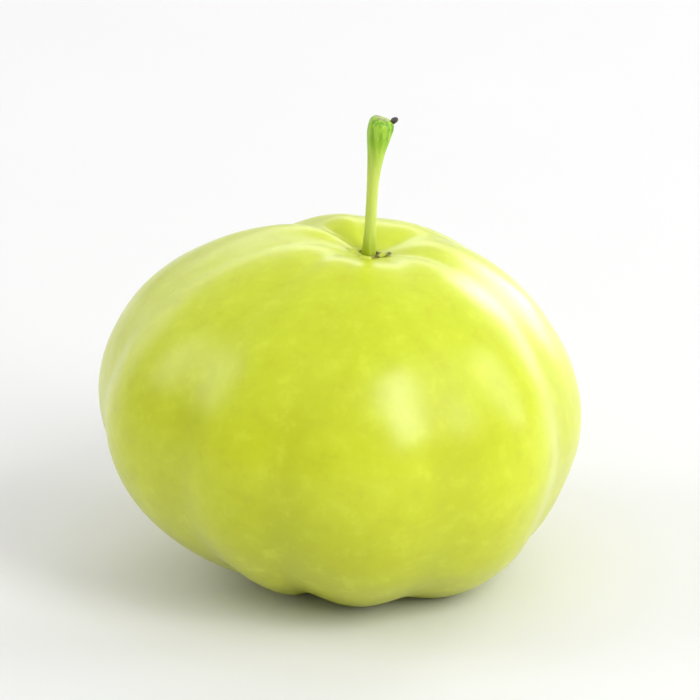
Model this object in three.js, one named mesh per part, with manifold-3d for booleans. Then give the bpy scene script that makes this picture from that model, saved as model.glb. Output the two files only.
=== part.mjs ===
// Star gooseberry (Phyllanthus acidus): a squat drupe with eight rounded lobes, as picked,
// with its stalk still in the well on top and the dried sepals round the stalk's foot.
// Millimetres, +Z up. The origin is the middle of the fruit's outline on the surface it rests on.
// A bearing is measured round the fruit in degrees: 0 faces -Y, and it grows towards +X.
import * as THREE from 'three';
import { mergeVertices } from 'three/addons/utils/BufferGeometryUtils.js';
import Module from 'manifold-3d';

// ---- fruit, driving dimensions ----
const GIRTH_R = 12.18; // crest of a lobe to the axis, at the widest ring
const RISE = 9.4; // widest ring to the top of the body, before the well is sunk
const DROP = 9.05; // widest ring to the lowest level, before the lower dimple is sunk
const REST_LEVEL = 8.1; // widest ring down to the flat spots that the fruit rests on
const ROUND_R_UP = 0.98; // exponent of the radius above the widest ring: under 1 is fuller
const ROUND_R_DOWN = 1.05; // the same below it
const ROUND_Z = 1.04; // exponent of the height
const HEFT = 0.42; // how much fuller the lower right side is, and how much leaner the left
const HEFT_BEARING = 75; // bearing where that fullness is greatest
const WELL_DEPTH = 1.1;
const WELL_R = 2.2;
const WELL_SHIFT = 0.6; // the well lies this far to +X of the middle
const DIMPLE_DEPTH = 1.7;
const DIMPLE_R = 2.8;
const LEAN = 6.0; // degrees that the top leans to +X over the level base
const SCAR_R = 0.42; // stub of the dried styles at the middle of the underside
const SCAR_HEIGHT = 0.3;

// ---- grooves between the lobes: bearing, and depth near the top, at the girth and near the base ----
const GROOVES = [
  { at: -81, top: 0.08, girth: 0.48, base: 0.46 },
  { at: -41, top: 0.05, girth: 0.3, base: 0.38 },
  { at: -13.5, top: 0.04, girth: 0.28, base: 0.38 },
  { at: 29, top: 0.05, girth: 0.32, base: 0.42 },
  { at: 71, top: 0.14, girth: 0.6, base: 0.5 },
  { at: 127, top: 0.12, girth: 0.6, base: 0.52 },
  { at: 174, top: 0.08, girth: 0.5, base: 0.48 },
  { at: 217, top: 0.5, girth: 0.66, base: 0.52 },
];
const GROOVE_SOFTNESS = 0.45; // 0 is a sharp crease, larger is a rounder valley
const LOBE_STEPS = 12; // facets across each lobe
const RINGS = 40; // rings of facets from base to top

// ---- stalk ----
const STALK_LINE = [
  // x, y and height over the widest ring, then the radius there
  [1.4, 0.0, 6.9, 0.34],
  [1.48, 0.0, 7.9, 0.37],
  [1.52, 0.0, 8.45, 0.35],
  [1.58, 0.0, 9.4, 0.3],
  [1.66, 0.0, 10.9, 0.28],
  [1.74, 0.0, 12.2, 0.31],
  [1.85, 0.0, 13.3, 0.41],
  [1.98, 0.0, 14.1, 0.55],
  [2.07, 0.0, 14.65, 0.64],
  [2.12, 0.0, 15.0, 0.62],
  [2.11, 0.0, 15.22, 0.49],
  [2.08, 0.0, 15.35, 0.26],
];
const STALK_SIDES = 18;
const STALK_STEPS = 26;
const SPUR_BASE_R = 0.17; // withered bract beside the broken end
const SPUR_LENGTH = 0.62;
const SOCKET_GAP = 0.1; // clearance between the stalk's foot and its socket

// ---- dried sepals ----
const SEPALS = 4;
const SEPAL_BEARING = 78;
const SEPAL_RING_R = 0.66;
const SEPAL_TIP_R = 1.15;
const SEPAL_THICK = 0.2;
const SEPAL_GAP = 0.08; // clearance over the floor of the well and round the stalk
const SEPAL_SIDES = 48;

const wasm = await Module();
wasm.setup();

function smooth(from, to, x) {
  const t = THREE.MathUtils.clamp((x - from) / (to - from), 0, 1);
  return t * t * (3 - 2 * t);
}

// Crest (1 on a lobe's crest, 0 in a groove) and the groove depth at a bearing.
// The cross-section of a lobe is a softened half sine.
function lobeAt(bearing, sine) {
  const first = GROOVES[0].at;
  const wrapped = first + THREE.MathUtils.euclideanModulo(bearing - first, 360);
  let i = GROOVES.length - 1;
  while (GROOVES[i].at > wrapped + 1e-9) {
    i -= 1;
  }
  const left = GROOVES[i];
  const right = GROOVES[(i + 1) % GROOVES.length];
  const end = i + 1 < GROOVES.length ? right.at : right.at + 360;
  const u = (wrapped - left.at) / (end - left.at);
  const s = Math.sin(Math.PI * u);
  const e = GROOVE_SOFTNESS;
  const crest = (Math.hypot(s, e) - e) / (Math.hypot(1, e) - e);
  const t = smooth(0, 1, u);
  const up = smooth(0.15, 0.95, sine);
  const down = smooth(-0.1, -0.95, sine);
  const depthOf = (g) => g.girth * (1 - up - down) + g.top * up + g.base * down;
  return { crest, depth: THREE.MathUtils.lerp(depthOf(left), depthOf(right), t) };
}

// Half-section through the lobe crests: radius and height at a latitude.
function crestLine(latitude, bearing) {
  const c = Math.abs(Math.cos(latitude));
  const s = Math.sin(latitude);
  const round = THREE.MathUtils.lerp(ROUND_R_DOWN, ROUND_R_UP, smooth(0, 0.5, s));
  const side = Math.cos(THREE.MathUtils.degToRad(bearing - HEFT_BEARING));
  const even = GIRTH_R * c ** round;
  const r = GIRTH_R * c ** (round - HEFT * side * smooth(0.1, -0.65, s));
  let z = (s > 0 ? RISE : DROP) * Math.sign(s) * Math.abs(s) ** ROUND_Z;
  z -= WELL_DEPTH * Math.exp(-((even / WELL_R) ** 2)) * smooth(0, 0.5, s);
  z += DIMPLE_DEPTH * Math.exp(-((even / DIMPLE_R) ** 2)) * smooth(0, -0.5, s);
  return { r, z };
}

// The top leans over a base that stays level, then everything is lifted to rest on z = 0.
function settle(point) {
  const a = THREE.MathUtils.degToRad(LEAN) * smooth(-DROP * 0.95, 0.5, point.z);
  const x = point.x * Math.cos(a) + point.z * Math.sin(a);
  const z = -point.x * Math.sin(a) + point.z * Math.cos(a);
  return new THREE.Vector3(x, point.y, z + REST_LEVEL);
}

function around(r, bearing, z) {
  const b = THREE.MathUtils.degToRad(bearing);
  return new THREE.Vector3(r * Math.sin(b), -r * Math.cos(b), z);
}

// Skin of the fruit: the crest line pressed inwards along its normal by the grooves.
function skin(latitude, bearing) {
  const h = 1e-4;
  const here = crestLine(latitude, bearing);
  const above = crestLine(latitude + h, bearing);
  const below = crestLine(latitude - h, bearing);
  const tangent = new THREE.Vector2(above.r - below.r, above.z - below.z).normalize();
  const { crest, depth } = lobeAt(bearing, Math.sin(latitude));
  const press = depth * (1 - crest) * smooth(0, 3.2, here.r);
  const point = around(here.r - tangent.y * press, bearing, here.z + tangent.x * press);
  point.x += WELL_SHIFT * smooth(0.5, 1, Math.sin(latitude));
  return settle(point);
}

// Closed mesh from rings of points, with a point of its own over the first and the last ring.
function closedFromRings(first, rings, last) {
  const points = [first, ...rings.flat(), last];
  const sides = rings[0].length;
  const index = [];
  const at = (ring, side) => 1 + ring * sides + (side % sides);
  for (let k = 0; k < sides; k += 1) {
    index.push(0, at(0, k + 1), at(0, k));
    index.push(points.length - 1, at(rings.length - 1, k), at(rings.length - 1, k + 1));
  }
  for (let j = 0; j + 1 < rings.length; j += 1) {
    for (let k = 0; k < sides; k += 1) {
      index.push(at(j, k), at(j, k + 1), at(j + 1, k + 1));
      index.push(at(j, k), at(j + 1, k + 1), at(j + 1, k));
    }
  }
  const geometry = new THREE.BufferGeometry().setFromPoints(points);
  geometry.setIndex(index);
  return geometry;
}

function toSolid(geometry) {
  const bare = geometry.clone();
  bare.deleteAttribute('normal');
  bare.deleteAttribute('uv');
  const merged = mergeVertices(bare, 1e-5);
  return new wasm.Manifold(new wasm.Mesh({
    numProp: 3,
    vertProperties: new Float32Array(merged.attributes.position.array),
    triVerts: new Uint32Array(merged.index.array),
  }));
}

function toGeometry(solid) {
  const mesh = solid.getMesh();
  const geometry = new THREE.BufferGeometry();
  geometry.setAttribute('position', new THREE.BufferAttribute(mesh.vertProperties, 3));
  geometry.setIndex(new THREE.BufferAttribute(mesh.triVerts, 1));
  return geometry;
}

// ---- stalk: round sections along a gently curved line ----
const stalkPoints = STALK_LINE.map(([x, y, z]) => new THREE.Vector3(x, y, z + REST_LEVEL));
const stalkCurve = new THREE.CatmullRomCurve3(stalkPoints, false, 'centripetal');

function stalkRadius(t) {
  const place = t * (STALK_LINE.length - 1);
  const i = Math.min(Math.floor(place), STALK_LINE.length - 2);
  return THREE.MathUtils.lerp(STALK_LINE[i][3], STALK_LINE[i + 1][3], place - i);
}

// extra is added to each radius; the sections are level, so the foot is a flat disc.
function stalkRing(t, extra) {
  const centre = stalkCurve.getPoint(t);
  const radius = stalkRadius(t) + extra;
  return Array.from({ length: STALK_SIDES }, (_, k) => {
    const a = (2 * Math.PI * k) / STALK_SIDES;
    return new THREE.Vector3(
      centre.x + radius * Math.cos(a),
      centre.y + radius * Math.sin(a),
      centre.z,
    );
  });
}

function stalkSolid() {
  const rings = Array.from({ length: STALK_STEPS + 1 }, (_, i) => stalkRing(i / STALK_STEPS, 0));
  const body = toSolid(closedFromRings(stalkCurve.getPoint(0), rings, stalkCurve.getPoint(1)));
  const spur = new THREE.ConeGeometry(SPUR_BASE_R, SPUR_LENGTH, 8);
  spur.rotateX(Math.PI / 2);
  spur.rotateY(THREE.MathUtils.degToRad(52));
  const head = STALK_LINE[9];
  spur.translate(head[0] + 0.56, head[1], head[2] + REST_LEVEL + 0.12);
  return body.add(toSolid(spur));
}

// Hole for the stalk's foot: wider and deeper than the foot by the socket gap, open at the top.
function socketSolid() {
  const foot = stalkPoints[0];
  const line = [
    [foot.x, foot.y, foot.z - SOCKET_GAP, STALK_LINE[0][3]],
    [stalkPoints[1].x, stalkPoints[1].y, stalkPoints[1].z, STALK_LINE[1][3]],
    [stalkPoints[2].x, stalkPoints[2].y, stalkPoints[2].z + 1, STALK_LINE[1][3]],
  ];
  const rings = line.map(([x, y, z, radius]) => Array.from({ length: STALK_SIDES }, (_, k) => {
    const a = (2 * Math.PI * k) / STALK_SIDES;
    const r = radius + SOCKET_GAP;
    return new THREE.Vector3(x + r * Math.cos(a), y + r * Math.sin(a), z);
  }));
  const ends = [line[0], line[2]].map(([x, y, z]) => new THREE.Vector3(x, y, z));
  return toSolid(closedFromRings(ends[0], rings, ends[1]));
}

// ---- fruit: lobed skin with the scar below, less the socket and a sliver under each lobe,
// which leaves each lobe a small flat spot to rest on ----
function fruitSolid() {
  const bearings = [];
  GROOVES.forEach((groove, i) => {
    const next = GROOVES[(i + 1) % GROOVES.length];
    const span = THREE.MathUtils.euclideanModulo(next.at - groove.at, 360);
    for (let k = 0; k < LOBE_STEPS; k += 1) {
      bearings.push(groove.at + (span * k) / LOBE_STEPS);
    }
  });
  const latitudes = [];
  for (let j = 1; j < RINGS; j += 1) {
    const t = (2 * j) / RINGS - 1;
    latitudes.push((Math.PI / 2) * (1.25 * t - 0.25 * t ** 3));
  }
  const rings = latitudes.map((latitude) => bearings.map((bearing) => skin(latitude, bearing)));
  const whole = toSolid(closedFromRings(skin(-Math.PI / 2, 0), rings, skin(Math.PI / 2, 0)));
  const scar = new THREE.CylinderGeometry(SCAR_R, SCAR_R * 0.6, 2 * SCAR_HEIGHT, 10);
  scar.rotateX(Math.PI / 2);
  const low = skin(-Math.PI / 2, 0);
  scar.translate(low.x, low.y, low.z);
  const under = new THREE.BoxGeometry(40, 40, 10);
  under.translate(0, 0, -5);
  return whole.add(toSolid(scar)).subtract(toSolid(under)).subtract(socketSolid());
}

// ---- dried sepals: a thin ring on the floor of the well, drawn out into four short tongues ----
function wellFloor(r) {
  const c = (r / GIRTH_R) ** (1 / ROUND_R_UP);
  return RISE * Math.sqrt(1 - c * c) ** ROUND_Z - WELL_DEPTH * Math.exp(-((r / WELL_R) ** 2));
}

function sepalSolid() {
  const hole = STALK_LINE[1][3] + SEPAL_GAP;
  const points = [];
  const loop = 8;
  for (let k = 0; k < SEPAL_SIDES; k += 1) {
    const bearing = (360 * k) / SEPAL_SIDES;
    const turn = THREE.MathUtils.degToRad((bearing - SEPAL_BEARING) * SEPALS);
    const tongue = (0.5 + 0.5 * Math.cos(turn)) ** 1.6;
    const rim = THREE.MathUtils.lerp(SEPAL_RING_R, SEPAL_TIP_R, tongue);
    for (let j = 0; j < loop; j += 1) {
      const outward = j < loop / 2 ? j / (loop / 2 - 1) : (loop - 1 - j) / (loop / 2 - 1);
      const r = THREE.MathUtils.lerp(hole, rim, outward);
      const thick = SEPAL_THICK * (1 - 0.5 * outward);
      const level = wellFloor(r) + SEPAL_GAP + (j < loop / 2 ? 0 : thick);
      points.push(settle(around(r, bearing, level).add(new THREE.Vector3(WELL_SHIFT, 0, 0))));
    }
  }
  const index = [];
  const at = (side, j) => (side % SEPAL_SIDES) * loop + (j % loop);
  for (let k = 0; k < SEPAL_SIDES; k += 1) {
    for (let j = 0; j < loop; j += 1) {
      index.push(at(k, j), at(k + 1, j), at(k + 1, j + 1));
      index.push(at(k, j), at(k + 1, j + 1), at(k, j + 1));
    }
  }
  const geometry = new THREE.BufferGeometry().setFromPoints(points);
  geometry.setIndex(index);
  return toSolid(geometry);
}

// ---- scene graph ----
function addPiece(group, name, solid, look) {
  const mesh = new THREE.Mesh(toGeometry(solid), new THREE.MeshStandardMaterial(look));
  mesh.name = name;
  group.add(mesh);
}

const gooseberry = new THREE.Group();
addPiece(gooseberry, 'fruit', fruitSolid(), { color: 0xc8d83c, roughness: 0.35, metalness: 0 });
addPiece(gooseberry, 'stalk', stalkSolid(), { color: 0x9fc93a, roughness: 0.5, metalness: 0 });
addPiece(gooseberry, 'sepals', sepalSolid(), { color: 0x8a8f3a, roughness: 0.7, metalness: 0 });

export default gooseberry;
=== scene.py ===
"""A whole star gooseberry: a squat, lobed, waxy fruit with its stalk standing in the well on top.

Shapes are worked out in millimetres and put into the meshes in metres, +Z up. A bearing is
measured round the fruit in degrees: 0 faces -Y, and it grows towards +X.
"""

import bpy
import numpy as np
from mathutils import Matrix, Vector


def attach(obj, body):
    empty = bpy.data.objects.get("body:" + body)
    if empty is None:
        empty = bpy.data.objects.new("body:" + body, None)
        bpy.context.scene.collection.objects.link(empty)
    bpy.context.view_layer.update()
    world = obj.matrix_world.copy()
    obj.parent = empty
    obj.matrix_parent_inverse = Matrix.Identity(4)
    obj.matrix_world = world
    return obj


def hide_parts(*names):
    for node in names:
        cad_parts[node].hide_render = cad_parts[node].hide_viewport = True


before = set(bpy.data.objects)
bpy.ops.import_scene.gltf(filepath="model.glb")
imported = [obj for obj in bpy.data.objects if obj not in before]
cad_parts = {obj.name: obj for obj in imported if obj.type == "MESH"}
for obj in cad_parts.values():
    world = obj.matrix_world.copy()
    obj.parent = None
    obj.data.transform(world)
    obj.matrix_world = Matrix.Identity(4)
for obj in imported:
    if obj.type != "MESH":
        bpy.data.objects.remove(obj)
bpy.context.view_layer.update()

# ---------------------------------------------------------------- fruit
# The fruit is a drupe of eight rounded lobes with shallow grooves between them, crisp flesh
# under a thin waxy skin. It grew as one piece: the grooves run from the well at the stalk to
# the dimple underneath, where the dried styles leave a small scar.
MM = 0.001
GIRTH_R = 12.18  # crest of a lobe to the axis, at the widest ring
RISE, DROP = 9.4, 9.05  # widest ring to top and base, before well and dimple are sunk
REST_LEVEL = 8.1  # widest ring down to the flat spots that the fruit rests on
ROUND_R_UP, ROUND_R_DOWN, ROUND_Z = 0.98, 1.05, 1.04  # exponents of the radius and the height
HEFT, HEFT_BEARING = 0.42, 75.0  # how much fuller the lower right side is, and its bearing
WELL_DEPTH, WELL_R, WELL_SHIFT = 1.1, 2.2, 0.6  # the well is shifted to +X of the middle
DIMPLE_DEPTH, DIMPLE_R = 1.7, 2.8
LEAN, LEAN_FROM, LEAN_TO = 6.0, -0.95 * DROP, 0.5  # degrees to +X, reached between two heights
SCAR_R, SCAR_HEIGHT = 0.42, 0.3  # stub of the dried styles
SOFT_FLOOR = 0.04  # height over which the edges of the flat spots are rounded
# bearing of each groove, and its depth near the top, at the girth and near the base
GROOVES = np.array([
    (-81.0, 0.08, 0.48, 0.46),
    (-41.0, 0.05, 0.30, 0.38),
    (-13.5, 0.04, 0.28, 0.38),
    (29.0, 0.05, 0.32, 0.42),
    (71.0, 0.14, 0.60, 0.50),
    (127.0, 0.12, 0.60, 0.52),
    (174.0, 0.08, 0.50, 0.48),
    (217.0, 0.50, 0.66, 0.52),
])
GROOVE_SOFTNESS = 0.45  # 0 is a sharp crease, larger is a rounder valley
GROOVE_FADE_R = 3.2  # closer to the axis than this, the grooves die out
# faint unevenness of the skin: wavelength and height of the swellings, and the seed
SWELLINGS = ((9.0, 0.05, 5), (3.2, 0.012, 6))
# sines of the latitude between which one form passes into another
UPPER, LOWER, CROWN = (0, 0.5), (0, -0.5), (0.5, 1)
GROOVE_TOP, GROOVE_BASE, HEFT_SPAN = (0.15, 0.95), (-0.1, -0.95), (0.1, -0.65)
FRUIT_RINGS, FRUIT_SIDES, POLE_CROWDING = 220, 368, 0.2


def smooth(low, high, x):
    """0 below low, 1 above high, and 3t^2 - 2t^3 of the way between."""
    t = np.clip((x - low) / (high - low), 0, 1)
    return t * t * (3 - 2 * t)


def lobes(bearing, sine):
    """Crest (1 along the middle of a lobe, 0 in a groove) and depth of the nearest grooves.

    The crest is a softened half sine over each lobe's width; the depth slides from one groove's
    to the next one's, and from its top value to its base value with the sine of the latitude.
    """
    starts = np.append(GROOVES[:, 0], GROOVES[0, 0] + 360)
    wrapped = (bearing - starts[0]) % 360 + starts[0]
    i = np.clip(np.searchsorted(starts, wrapped, side="right") - 1, 0, len(GROOVES) - 1)
    u = (wrapped - starts[i]) / (starts[i + 1] - starts[i])
    e = GROOVE_SOFTNESS
    crest = (np.hypot(np.sin(np.pi * u), e) - e) / (np.hypot(1, e) - e)
    up, down = smooth(*GROOVE_TOP, sine), smooth(*GROOVE_BASE, sine)
    top, girth, base = GROOVES[:, 1], GROOVES[:, 2], GROOVES[:, 3]
    j = (i + 1) % len(GROOVES)
    left = girth[i] * (1 - up - down) + top[i] * up + base[i] * down
    right = girth[j] * (1 - up - down) + top[j] * up + base[j] * down
    return crest, left + (right - left) * smooth(0, 1, u)


def crest_line(latitude, bearing):
    """Radius and height of the half-section through the crests.

    A superellipse with a well sunk in its top and a dimple in its base, both bell curves. The
    exponent of the radius changes from base to top, and below the girth it is lower on the
    right than on the left, which makes the lower right side fuller.
    """
    c, s = np.abs(np.cos(latitude)), np.sin(latitude)
    rounding = ROUND_R_DOWN + (ROUND_R_UP - ROUND_R_DOWN) * smooth(*UPPER, s)
    side = np.cos(np.radians(bearing - HEFT_BEARING))
    even = GIRTH_R * c ** rounding
    r = GIRTH_R * c ** (rounding - HEFT * side * smooth(*HEFT_SPAN, s))
    z = np.where(s > 0, RISE, DROP) * np.sign(s) * np.abs(s) ** ROUND_Z
    z = z - WELL_DEPTH * np.exp(-(even / WELL_R) ** 2) * smooth(*UPPER, s)
    return r, z + DIMPLE_DEPTH * np.exp(-(even / DIMPLE_R) ** 2) * smooth(*LOWER, s)


def settle(x, y, z):
    """Leans the top to +X over a base that stays level, and lifts all of it onto z = 0."""
    a = np.radians(LEAN) * smooth(LEAN_FROM, LEAN_TO, z)
    return x * np.cos(a) + z * np.sin(a), y, z * np.cos(a) - x * np.sin(a) + REST_LEVEL


def ripple(x, y, z, size, seed):
    """Soft irregular swelling, about -1 to 1, with humps about half a size wide.

    A sum of seven sine waves in seeded directions, each with a length of its own.
    """
    rng = np.random.default_rng(seed)
    total = 0
    for _ in range(7):
        axis = rng.normal(size=3)
        axis /= np.linalg.norm(axis)
        wave = (x * axis[0] + y * axis[1] + z * axis[2]) * 2 * np.pi / size
        total = total + np.sin(wave * rng.uniform(0.7, 1.4) + rng.uniform(0, 2 * np.pi))
    return total / 4


def fruit_surface(latitude, bearing):
    """Crest line pressed inwards along its normal by the grooves, plus a faint unevenness.

    The stub of the styles is a small bump at the lower pole, and the lowest sliver of every
    lobe is flattened onto z = 0: z becomes half the sum of itself and of its softened size.
    """
    h = 1e-4
    r, z = crest_line(latitude, bearing)
    r_up, z_up = crest_line(latitude + h, bearing)
    r_down, z_down = crest_line(latitude - h, bearing)
    length = np.hypot(r_up - r_down, z_up - z_down) + 1e-12
    out_r, out_z = (z_up - z_down) / length, -(r_up - r_down) / length
    crest, depth = lobes(bearing, np.sin(latitude))
    b = np.radians(bearing)
    x, y = r * np.sin(b), r * np.cos(b)
    uneven = sum(ripple(x, y, z, size, seed) * height for size, height, seed in SWELLINGS)
    push = (uneven - depth * (1 - crest)) * smooth(0, GROOVE_FADE_R, r)
    push = push + SCAR_HEIGHT * smooth(SCAR_R * 1.15, SCAR_R * 0.7, r) * smooth(*LOWER, z)
    r, z = r + out_r * push, z + out_z * push
    x = r * np.sin(b) + WELL_SHIFT * smooth(*CROWN, np.sin(latitude))
    x, y, z = settle(x, -r * np.cos(b), z)
    return np.stack([x, y, 0.5 * (z + np.hypot(z, SOFT_FLOOR))], -1), crest


def grid_mesh(name, points, facts=(), capped=True):
    """Closed mesh over a grid of points (rings x sides x 3, in millimetres).

    Each ring closes on itself. The first and last rings are closed by a fan to their middle, or,
    if not capped, join each other. facts are (name, values) pairs kept on the points.
    """
    rings, sides = points.shape[:2]
    ring, side = np.meshgrid(np.arange(rings), np.arange(sides), indexing="ij")
    nxt = (side + 1) % sides
    if capped:
        ring, side, nxt = ring[:-1], side[:-1], nxt[:-1]
    above = (ring + 1) % rings
    quads = np.stack([ring * sides + side, ring * sides + nxt,
                      above * sides + nxt, above * sides + side], -1).reshape(-1, 4)
    verts = points.reshape(-1, 3)
    faces = quads.tolist()
    if capped:
        verts = np.vstack([verts, points[0].mean(0), points[-1].mean(0)])
        k = np.arange(sides)
        n = (k + 1) % sides
        last = (rings - 1) * sides
        faces += np.stack([n, k, np.full(sides, rings * sides)], -1).tolist()
        faces += np.stack([last + k, last + n, np.full(sides, rings * sides + 1)], -1).tolist()
    mesh = bpy.data.meshes.new(name)
    mesh.from_pydata((verts * MM).tolist(), [], faces)
    mesh.shade_smooth()
    for fact, values in facts:
        values = np.broadcast_to(values, (rings, sides))
        if capped:
            ends = [values[0].mean(), values[-1].mean()]
            values = np.append(values.ravel(), ends)
        attribute = mesh.attributes.new(fact, "FLOAT", "POINT")
        attribute.data.foreach_set("value", np.ravel(values).astype(np.float32))
    piece = bpy.data.objects.new(name, mesh)
    bpy.context.collection.objects.link(piece)
    return piece


def evenly_round(sides, full_turn):
    """Evenly spaced angles round a ring, as one row, in the unit of full_turn."""
    return (np.arange(sides) * full_turn / sides)[None, :]


class Finish:
    """A material and short ways to add nodes to it.

    Colours are linear red, green, blue. The scale of a pattern counts its repeats in a metre.
    """

    def __init__(self, name):
        self.material = bpy.data.materials.new(name)
        self.material.use_nodes = True
        self.tree = self.material.node_tree
        self.shader = self.tree.nodes["Principled BSDF"]
        self.place = self.tree.nodes.new("ShaderNodeTexCoord").outputs["Object"]

    def put(self, socket, value):
        """Links value to the socket if it comes from a node, or else sets it there."""
        if isinstance(value, bpy.types.NodeSocket):
            self.tree.links.new(value, socket)
        elif socket.type == "RGBA" and len(value) == 3:
            socket.default_value = (*value, 1.0)
        else:
            socket.default_value = value

    def fact(self, name):
        """The values that grid_mesh kept on the points under this name."""
        node = self.tree.nodes.new("ShaderNodeAttribute")
        node.attribute_name = name
        return node.outputs["Fac"]

    def noise(self, scale, detail=3.0, rough=0.5, where=None):
        """Cloudy pattern, about 0.2 to 0.8."""
        node = self.tree.nodes.new("ShaderNodeTexNoise")
        self.put(node.inputs["Vector"], where or self.place)
        node.inputs["Scale"].default_value = scale
        node.inputs["Detail"].default_value = detail
        node.inputs["Roughness"].default_value = rough
        return node.outputs["Fac"]

    def specks(self, scale):
        """Distance to the nearest of many scattered points, and a random value for each."""
        node = self.tree.nodes.new("ShaderNodeTexVoronoi")
        self.put(node.inputs["Vector"], self.place)
        node.inputs["Scale"].default_value = scale
        return node.outputs["Distance"], node.outputs["Color"]

    def stretched(self, scales):
        """Place on the piece, scaled by its own amount along each axis."""
        node = self.tree.nodes.new("ShaderNodeMapping")
        self.put(node.inputs["Vector"], self.place)
        node.inputs["Scale"].default_value = scales
        return node.outputs["Vector"]

    def math(self, kind, a, b=0.0, c=0.0):
        """ADD or MULTIPLY of a and b, or MULTIPLY_ADD: a times b plus c."""
        node = self.tree.nodes.new("ShaderNodeMath")
        node.operation = kind
        for socket, value in zip(node.inputs, (a, b, c)):
            self.put(socket, value)
        return node.outputs[0]

    def band(self, value, low, high, start=0.0, end=1.0):
        """value from low to high, spread smoothly over start to end."""
        node = self.tree.nodes.new("ShaderNodeMapRange")
        node.interpolation_type = "SMOOTHSTEP"
        for socket, v in zip(node.inputs, (value, low, high, start, end)):
            self.put(socket, v)
        return node.outputs["Result"]

    def mix(self, share, under, over):
        """The colour under, with a share of the colour over."""
        node = self.tree.nodes.new("ShaderNodeMix")
        node.data_type = "RGBA"
        self.put(node.inputs["Factor"], share)
        self.put(node.inputs["A"], under)
        self.put(node.inputs["B"], over)
        return node.outputs["Result"]

    def tint(self, under, over, value, low, high, most=1.0):
        """The colour over comes in as value goes from low to high, up to a share of most."""
        return self.mix(self.band(value, low, high, end=most), under, over)

    def bump(self, height, strength, depth):
        """Fine relief that only the light shows, of a depth in metres."""
        node = self.tree.nodes.new("ShaderNodeBump")
        node.inputs["Strength"].default_value = strength
        node.inputs["Distance"].default_value = depth
        self.put(node.inputs["Height"], height)
        self.put(self.shader.inputs["Normal"], node.outputs["Normal"])

    def set(self, **values):
        """Sets or links inputs of the shader by name, with _ for a space."""
        for name, value in values.items():
            self.put(self.shader.inputs[name.replace("_", " ")], value)


# the top colour is a little paler as painted light from above; the base colour is darker as
# painted shade low on the fruit, and it is also the tone of the dark clouds and flecks
SKIN_TOP_LIT = (0.53, 0.61, 0.010)
SKIN_GIRTH = (0.54, 0.60, 0.003)
SKIN_BASE_SHADE_AND_MOTTLE = (0.48, 0.51, 0.002)
SKIN_GROOVE_SHADE = (0.48, 0.53, 0.003)
SKIN_WELL_LIGHT = (0.53, 0.62, 0.018)
SKIN_PALE = (0.64, 0.71, 0.035)
SCAR_BROWN = (0.20, 0.15, 0.045)
WELL_LIGHT_R, SCAR_TINT_R = (4.2, 0.8), (1.3, 0.4)  # radii where these colours begin and are full
CLOUDS, FLECKS, DOTS, STREAKS = 170.0, 950.0, 1500.0, (900.0, 900.0, 120.0)
PORES, FINE_PORES, WAX_PATCHES = 900.0, 2300.0, 420.0
WAX_GLOSS = (0.285, 0.345)  # lowest and highest roughness

latitude = np.linspace(-1, 1, FRUIT_RINGS + 2)[1:-1, None]
latitude = np.pi / 2 * ((1 + POLE_CROWDING) * latitude - POLE_CROWDING * latitude ** 3)
bearing = evenly_round(FRUIT_SIDES, 360)
points, crest = fruit_surface(latitude, bearing)
sine, reach = np.sin(latitude), crest_line(latitude, bearing)[0]
fruit = grid_mesh("fruit_skin", points, (
    ("crest", crest),
    ("rise", sine),
    # share of the painted light in the well round the stalk
    ("painted_well_light", smooth(*WELL_LIGHT_R, reach) * smooth(*UPPER, sine)),
    ("near_scar", smooth(*SCAR_TINT_R, reach) * smooth(*LOWER, sine)),
))

skin = Finish("waxy fruit skin")
crest_fact, rise_fact = skin.fact("crest"), skin.fact("rise")
# painted shade: darker towards the base and in the grooves; painted light: a little paler towards
# the top and paler in the well
colour = skin.tint(SKIN_BASE_SHADE_AND_MOTTLE, SKIN_GIRTH, rise_fact, -0.95, 0.05)
colour = skin.tint(colour, SKIN_TOP_LIT, rise_fact, 0.0, 0.95)
# painted shade in the grooves between the lobes, fading out towards the top
painted_groove_shade = skin.math("MULTIPLY", skin.band(crest_fact, 0.55, 0.0, end=0.5),
                      skin.band(rise_fact, 0.75, 0.2))
colour = skin.mix(painted_groove_shade, colour, SKIN_GROOVE_SHADE)
# painted light: the well round the stalk is paler and whiter
colour = skin.mix(skin.math("MULTIPLY", skin.fact("painted_well_light"), 0.8), colour, SKIN_WELL_LIGHT)
# broad pale and dark clouds, pale streaks that run up the fruit, then dots and small flecks
cloud = skin.noise(CLOUDS, 4.0, 0.55)
colour = skin.tint(colour, SKIN_PALE, cloud, 0.42, 0.75, 0.35)
colour = skin.tint(colour, SKIN_BASE_SHADE_AND_MOTTLE, cloud, 0.5, 0.28, 0.3)
streak = skin.noise(1.0, 3.0, 0.6, skin.stretched(STREAKS))
colour = skin.tint(colour, SKIN_PALE, streak, 0.55, 0.8, 0.25)
distance, chance = skin.specks(DOTS)
dots = skin.math("MULTIPLY", skin.band(distance, 0.30, 0.12), skin.band(chance, 0.45, 0.6))
colour = skin.mix(skin.math("MULTIPLY", dots, 0.16), colour, SKIN_PALE)
fleck = skin.noise(FLECKS, 4.0, 0.6)
colour = skin.tint(colour, SKIN_PALE, fleck, 0.5, 0.75, 0.5)
colour = skin.tint(colour, SKIN_BASE_SHADE_AND_MOTTLE, fleck, 0.5, 0.25, 0.5)
colour = skin.mix(skin.fact("near_scar"), colour, SCAR_BROWN)
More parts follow.
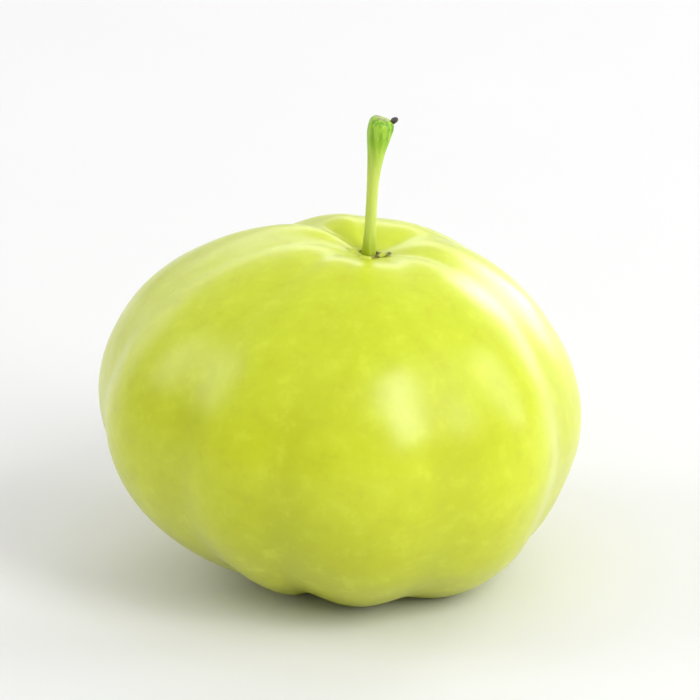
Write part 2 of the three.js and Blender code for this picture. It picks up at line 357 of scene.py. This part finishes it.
# translucent flesh under a thin coat of wax, with pores that are only just felt
skin.set(
    Base_Color=colour,
    Roughness=skin.band(skin.noise(WAX_PATCHES), 0.3, 0.75, *WAX_GLOSS),
    Subsurface_Weight=0.65,
    Subsurface_Radius=(1.0, 1.0, 0.22),
    Subsurface_Scale=0.0028,
    Coat_Weight=0.4,
    Coat_Roughness=0.26,
    IOR=1.40,
)
pitted = skin.math("MULTIPLY_ADD", skin.noise(FINE_PORES, 1.0), 0.25, skin.noise(PORES, 2.0))
skin.bump(pitted, 0.13, 0.00005)
fruit.data.materials.append(skin.material)
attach(fruit, "root")
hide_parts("fruit")

# ---------------------------------------------------------------- sepals
# Four sepals, left from the flower, lie on the floor of the well round the stalk's foot. They
# are thin tongues joined in one narrow ring, grown flush with the skin and as green as it is.
# Only the one on the right has dried out: it is brown and papery, and curls up at its tip.
SEPALS, SEPAL_BEARING = 4, 78.0  # the bearing of the dry one
SEPAL_HOLE, SEPAL_RING_R, SEPAL_TIP_R = 0.445, 0.62, 1.15
SEPAL_SHARPNESS = 1.6  # larger makes narrower tongues
SEPAL_SPREAD = 0.06  # share by which tongues are longer or shorter than the mean
SEPAL_THICK, SEPAL_THINNING = 0.11, 0.55  # at the ring, and the share lost at the tips
SEPAL_SINK, SEPAL_CURL = 0.06, 0.05  # fresh tips go down into the skin, the dry one curls up
SEPAL_CRUMPLE, SEPAL_CRUMPLES = 0.02, 17  # height and number of the wrinkles
SEPAL_SIDES, SEPAL_LOOP = 160, 24
SEPAL_GREEN = (0.53, 0.61, 0.05)
SEPAL_DULL_GREEN = (0.46, 0.52, 0.04)
SEPAL_BROWN = (0.12, 0.095, 0.02)
SEPAL_MOTTLE, SEPAL_CREASES = 1800.0, 3200.0


def sepal_surface(bearing, turn):
    """A flat loop carried round the stalk: its outer reach swells into four tongues.

    turn runs once round the loop, underside first; the level follows the floor of the well,
    and each tongue thins towards its tip. The dry one on the right curls up a little there, and
    the fresh ones are sunk into the skin.
    """
    tongue = 0.5 + 0.5 * np.cos(np.radians(SEPALS * (bearing - SEPAL_BEARING)))
    tongue = tongue ** SEPAL_SHARPNESS
    longer = 1 + SEPAL_SPREAD * np.sin(np.radians(bearing + 40))
    rim = SEPAL_RING_R + (SEPAL_TIP_R - SEPAL_RING_R) * tongue * longer
    out = 0.5 - 0.5 * np.cos(2 * np.pi * turn)
    r = SEPAL_HOLE + (rim - SEPAL_HOLE) * out
    floor = RISE * np.sqrt(1 - (r / GIRTH_R) ** (2 / ROUND_R_UP)) ** ROUND_Z
    floor = floor - WELL_DEPTH * np.exp(-(r / WELL_R) ** 2)
    body = 0.5 - 0.5 * np.sin(2 * np.pi * turn) * (1 + 0.3 * np.cos(2 * np.pi * turn))
    thick = SEPAL_THICK * (1 - SEPAL_THINNING * out)
    crumple = SEPAL_CRUMPLE * np.sin(np.radians(bearing * SEPAL_CRUMPLES)) * out
    b = np.radians(bearing)
    dry = smooth(0.2, 0.9, np.cos(b - np.radians(SEPAL_BEARING)))
    curl = SEPAL_CURL * out ** 3 * tongue * dry
    z = floor + thick * body + crumple + curl - SEPAL_SINK * out * (1 - dry)
    x, y, z = settle(r * np.sin(b) + WELL_SHIFT, -r * np.cos(b), z)
    return np.stack([x, y, z], -1), out * tongue, dry


turn = (np.arange(SEPAL_LOOP) / SEPAL_LOOP)[:, None]
points, tip, dry_side = sepal_surface(evenly_round(SEPAL_SIDES, 360), turn)
sepals = grid_mesh("sepal_ring", points, (("tip", tip), ("dry_side", dry_side)), capped=False)

papery = Finish("half dried sepals")
mottle, tip_fact = papery.noise(SEPAL_MOTTLE), papery.fact("tip")
colour = papery.tint(SEPAL_GREEN, SEPAL_DULL_GREEN, mottle, 0.35, 0.7)
# brown at the tips and round the stalk, nearly all of it on the dry side
withered = papery.math("ADD", papery.band(tip_fact, 0.5, 0.8), papery.band(tip_fact, 0.3, 0.08))
dryness = papery.math("MULTIPLY_ADD", papery.fact("dry_side"), 0.85, 0.15)
colour = papery.mix(papery.math("MULTIPLY", withered, dryness), colour, SEPAL_BROWN)
papery.set(Base_Color=colour, Roughness=papery.band(mottle, 0.3, 0.7, 0.6, 0.8))
papery.bump(papery.noise(SEPAL_CREASES), 0.4, 0.00004)
sepals.data.materials.append(papery.material)
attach(sepals, "root")
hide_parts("sepals")

# ---------------------------------------------------------------- stalk
# The stalk is a slender green stem, swollen and faintly ribbed at the end where it broke from
# the branch. The fruit hung from it, and its foot is grown into the middle of the well.

# x and height over the widest ring of the fruit, then the radius there
STALK_LINE = np.array([
    (1.4, 6.9, 0.34), (1.48, 7.9, 0.37), (1.52, 8.45, 0.35), (1.58, 9.4, 0.3),
    (1.66, 10.9, 0.28), (1.74, 12.2, 0.31), (1.85, 13.3, 0.41), (1.98, 14.1, 0.55),
    (2.07, 14.65, 0.64), (2.12, 15.0, 0.62), (2.11, 15.22, 0.49), (2.08, 15.35, 0.26),
])
STALK_HEAD, STALK_TIP = (0.55, 0.85), (0.78, 1.0)  # shares of the line where these begin and end
RIB_DEPTH, HEAD_RIB_DEPTH = 0.010, 0.014  # shares of the radius
KNUCKLES, KNUCKLE_PITCH, KNUCKLE_SEED = 0.02, 2.4, 21
BREAK_DROP = 0.16 / 0.6  # slope of the broken end, down to the right
BREAK_ROUGHNESS, BREAK_PITCH, BREAK_SEED = 0.02, 0.7, 22
STALK_RINGS, STALK_SIDES = 220, 72
STALK_FOOT = (0.31, 0.39, 0.008)
STALK_YELLOW_GREEN = (0.53, 0.61, 0.12)
STALK_GREEN = (0.27, 0.50, 0.008)
STALK_PALE_FIBRE = (0.60, 0.74, 0.12)
STALK_DARK_STRIPE = (0.13, 0.32, 0.012)
BREAK_GREEN = (0.34, 0.42, 0.12)
BREAK_BROWN = (0.20, 0.15, 0.06)
STALK_FIBRES, BREAK_SPOTS, STALK_SHEEN = (5200.0, 5200.0, 420.0), 2600.0, 1600.0


def eased(table, t):
    """Rows of the table joined by a Catmull-Rom curve, read at t from 0 to 1."""
    place = np.clip(t, 0, 1) * (len(table) - 1)
    i = np.minimum(place.astype(int), len(table) - 2)
    f = (place - i)[:, None]
    a, b = table[np.maximum(i - 1, 0)], table[i]
    c, d = table[i + 1], table[np.minimum(i + 2, len(table) - 1)]
    return b + 0.5 * f * (c - a + f * (2 * a - 5 * b + 4 * c - d + f * (3 * (b - c) + d - a)))


def stalk_surface(t, angle):
    """Round sections along the stalk's line, with faint ribs and a few knuckles.

    The ribs are cosines round the section that deepen towards the swollen head, and the head's
    last rings are tipped so that the broken end slopes down to the right.
    """
    x0, z0, r = (column[:, None] for column in eased(STALK_LINE, t).T)
    t = t[:, None]
    ribs = np.cos(5 * angle + 2.2 * t) + 0.5 * np.cos(9 * angle + 1 + 3 * t)
    r = r * (1 + (RIB_DEPTH + HEAD_RIB_DEPTH * smooth(*STALK_HEAD, t)) * ribs)
    knuckles = ripple(np.cos(angle), np.sin(angle), 10 * t, KNUCKLE_PITCH, KNUCKLE_SEED)
    r = r * (1 + KNUCKLES * knuckles)
    x, y = x0 + r * np.cos(angle), r * np.sin(angle)
    tip = smooth(*STALK_TIP, t)
    z = z0 + REST_LEVEL - BREAK_DROP * tip * (x - x0)
    z = z + BREAK_ROUGHNESS * tip * ripple(x, y, z, BREAK_PITCH, BREAK_SEED)
    return np.stack([x, y, z], -1)


t = np.linspace(0, 1, STALK_RINGS)
points = stalk_surface(t, evenly_round(STALK_SIDES, 2 * np.pi))
stalk = grid_mesh("stalk_skin", points, (("along", t[:, None]),))

green = Finish("fresh green stalk")
along = green.fact("along")
colour = green.tint(STALK_FOOT, STALK_YELLOW_GREEN, along, 0.17, 0.33)
colour = green.tint(colour, STALK_GREEN, along, 0.42, 0.68)
fibre = green.noise(1.0, 3.0, 0.6, green.stretched(STALK_FIBRES))
colour = green.tint(colour, STALK_PALE_FIBRE, fibre, 0.4, 0.72, 0.4)
stripe = green.math("MULTIPLY", green.band(along, 0.55, 0.8), green.band(fibre, 0.56, 0.36))
colour = green.mix(stripe, colour, STALK_DARK_STRIPE)
# the broken end is paler, with brown spots
break_end = green.band(along, 0.93, 1.0)
colour = green.mix(break_end, colour, BREAK_GREEN)
spots = green.band(green.noise(BREAK_SPOTS), 0.45, 0.65)
colour = green.mix(green.math("MULTIPLY", break_end, spots), colour, BREAK_BROWN)
green.set(
    Base_Color=colour,
    Roughness=green.band(green.noise(STALK_SHEEN), 0.3, 0.7, 0.42, 0.58),
    Subsurface_Weight=0.35,
    Subsurface_Radius=(0.8, 1.0, 0.2),
    Subsurface_Scale=0.0007,
    Coat_Weight=0.1,
    Coat_Roughness=0.35,
)
green.bump(fibre, 0.25, 0.00004)
stalk.data.materials.append(green.material)
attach(stalk, "root")
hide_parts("stalk")

# ---------------------------------------------------------------- bract
# A bract is the small scale leaf under a flower stalk. This one, a third of a millimetre thick,
# has withered to a dark spur and is still attached beside the stalk's broken end.
BRACT_FOOT, BRACT_TIP, BRACT_R = (2.48, 14.94), (2.93, 15.32), 0.15  # x and height as above
BRACT_SWELL, BRACT_ROUND_FROM = (-0.25, 0.65), 0.55  # shares of its length
BRACT_RINGS, BRACT_SIDES, BRACT_LAST_RING = 30, 24, 0.99  # which stands just short of the tip
BRACT_GREEN = (0.20, 0.22, 0.06)
BRACT_DARK = (0.045, 0.04, 0.035)
BRACT_TAN = (0.16, 0.13, 0.09)
BRACT_MOTTLE, BRACT_SHEEN, BRACT_CREASES = 4000.0, 2600.0, 5000.0


def bract_surface(t, angle):
    """Sections square to a straight line from foot to tip, pinched into three soft corners.

    Their radius swells from the foot and is rounded off at the tip by a quarter ellipse.
    """
    rounding = np.clip((t - BRACT_ROUND_FROM) / (1 - BRACT_ROUND_FROM), 0, 1)
    radius = BRACT_R * smooth(*BRACT_SWELL, t) * np.sqrt(1 - rounding ** 2)
    radius = radius * (1 + 0.15 * np.sin(3 * angle + 4 * t))
    run, lift = np.subtract(BRACT_TIP, BRACT_FOOT)
    length = np.hypot(run, lift)
    x = BRACT_FOOT[0] + run * t - radius * np.cos(angle) * lift / length
    z = BRACT_FOOT[1] + lift * t + radius * np.cos(angle) * run / length + REST_LEVEL
    return np.stack([x, -radius * np.sin(angle), z], -1)


t = np.linspace(0, BRACT_LAST_RING, BRACT_RINGS)[:, None]
points = bract_surface(t, evenly_round(BRACT_SIDES, 2 * np.pi))
bract = grid_mesh("bract", points, (("along", t),))

dry = Finish("withered bract")
colour = dry.tint(BRACT_GREEN, BRACT_DARK, dry.fact("along"), 0.1, 0.5)
colour = dry.tint(colour, BRACT_TAN, dry.noise(BRACT_MOTTLE), 0.4, 0.7, 0.5)
dry.set(Base_Color=colour, Roughness=dry.band(dry.noise(BRACT_SHEEN), 0.3, 0.7, 0.6, 0.8))
dry.bump(dry.noise(BRACT_CREASES), 0.4, 0.00003)
bract.data.materials.append(dry.material)
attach(bract, "root")

# ---------------------------------------------------------------- studio
# A plain white table top in a white room. A broad key light stands at the front right, with
# weaker ones at the right and the left. Two behind the fruit light its sides, and a dim
# backdrop light behind it glows on the top edge and on the far lip of the well.
TABLE_REACH = 3.0  # metres
TABLE_GREY, TABLE_WHITE, TABLE_CLOUDS = (0.715,) * 3, (0.745,) * 3, 40.0
FRUIT_MIDDLE = Vector((0, 0, 9 * MM))
SKY_STRENGTH, SKY_WIDTH = 0.6, np.radians(120)
ROOM_LIGHT = 0.515

table_mesh = bpy.data.meshes.new("table_top")
table_mesh.from_pydata([(-TABLE_REACH, -TABLE_REACH, 0), (TABLE_REACH, -TABLE_REACH, 0),
                        (TABLE_REACH, TABLE_REACH, 0), (-TABLE_REACH, TABLE_REACH, 0)],
                       [], [(0, 1, 2, 3)])
table_top = bpy.data.objects.new("table_top", table_mesh)
bpy.context.collection.objects.link(table_top)
white = Finish("white table top")
white.set(Base_Color=white.mix(white.noise(TABLE_CLOUDS), TABLE_GREY, TABLE_WHITE),
          Roughness=0.7)
table_mesh.materials.append(white.material)


def soft_light(name, bearing, elevation, distance, size, radiance, spread=180):
    """White area light (width, height) on a sphere round the fruit, facing its middle.

    Angles are in degrees and lengths in metres. A spread under 180 narrows the beam, and makes
    the light brighter along its axis than the radiance given.
    """
    b, e = np.radians(bearing), np.radians(elevation)
    out = Vector((np.sin(b) * np.cos(e), -np.cos(b) * np.cos(e), np.sin(e)))
    lamp = bpy.data.lights.new(name, "AREA")
    lamp.shape = "RECTANGLE"
    lamp.size, lamp.size_y = size
    lamp.energy, lamp.spread = radiance * np.pi * size[0] * size[1], np.radians(spread)
    light = bpy.data.objects.new(name, lamp)
    light.location = FRUIT_MIDDLE + out * distance
    light.rotation_euler = (-out).to_track_quat("-Z", "Y").to_euler()
    light.visible_camera = False
    bpy.context.collection.objects.link(light)


# bearing, elevation, distance, size, radiance, and a spread where it isn't the full 180
soft_light("key", 49, 35, 0.40, (0.15, 0.29), 6.9)
soft_light("side", 94, 23, 0.40, (0.13, 0.25), 3.5)
soft_light("fill", -92, 36, 0.40, (0.16, 0.24), 2.5)
soft_light("rim_right", 147, 13, 0.45, (0.16, 0.28), 5.4)
soft_light("rim_left", -138, 16, 0.45, (0.20, 0.22), 0.8)
soft_light("backdrop", 180, 19, 0.45, (0.50, 0.12), 0.25, 70)

sky = bpy.data.lights.new("sky", "SUN")
sky.energy, sky.angle = SKY_STRENGTH, SKY_WIDTH
bpy.context.collection.objects.link(bpy.data.objects.new("sky", sky))

world = bpy.data.worlds.new("white room")
world.use_nodes = True
world.node_tree.nodes["Background"].inputs["Color"].default_value = (1, 1, 1, 1)
world.node_tree.nodes["Background"].inputs["Strength"].default_value = ROOM_LIGHT
bpy.context.scene.world = world
bpy.context.scene.view_settings.view_transform = "Standard"

# ---------------------------------------------------------------- camera
# Long lens a little above the fruit, aimed so that fruit and stalk fill the view.
CAMERA_ELEVATION, CAMERA_DISTANCE = np.radians(21.0), 0.42
VIEW_WIDTH, SENSOR_WIDTH = 0.0345, 36  # metres at the fruit, and millimetres
AIM = Vector((0.0006, 0, 0.0113))

camera_data = bpy.data.cameras.new("camera")
camera_data.sensor_width = SENSOR_WIDTH
camera_data.lens = SENSOR_WIDTH * CAMERA_DISTANCE / VIEW_WIDTH
camera_data.clip_start, camera_data.clip_end = 0.01, 20
camera = bpy.data.objects.new("camera", camera_data)
back = Vector((0, -np.cos(CAMERA_ELEVATION), np.sin(CAMERA_ELEVATION)))
camera.location = AIM + back * CAMERA_DISTANCE
camera.rotation_euler = (AIM - camera.location).to_track_quat("-Z", "Y").to_euler()
bpy.context.collection.objects.link(camera)
bpy.context.scene.camera = camera
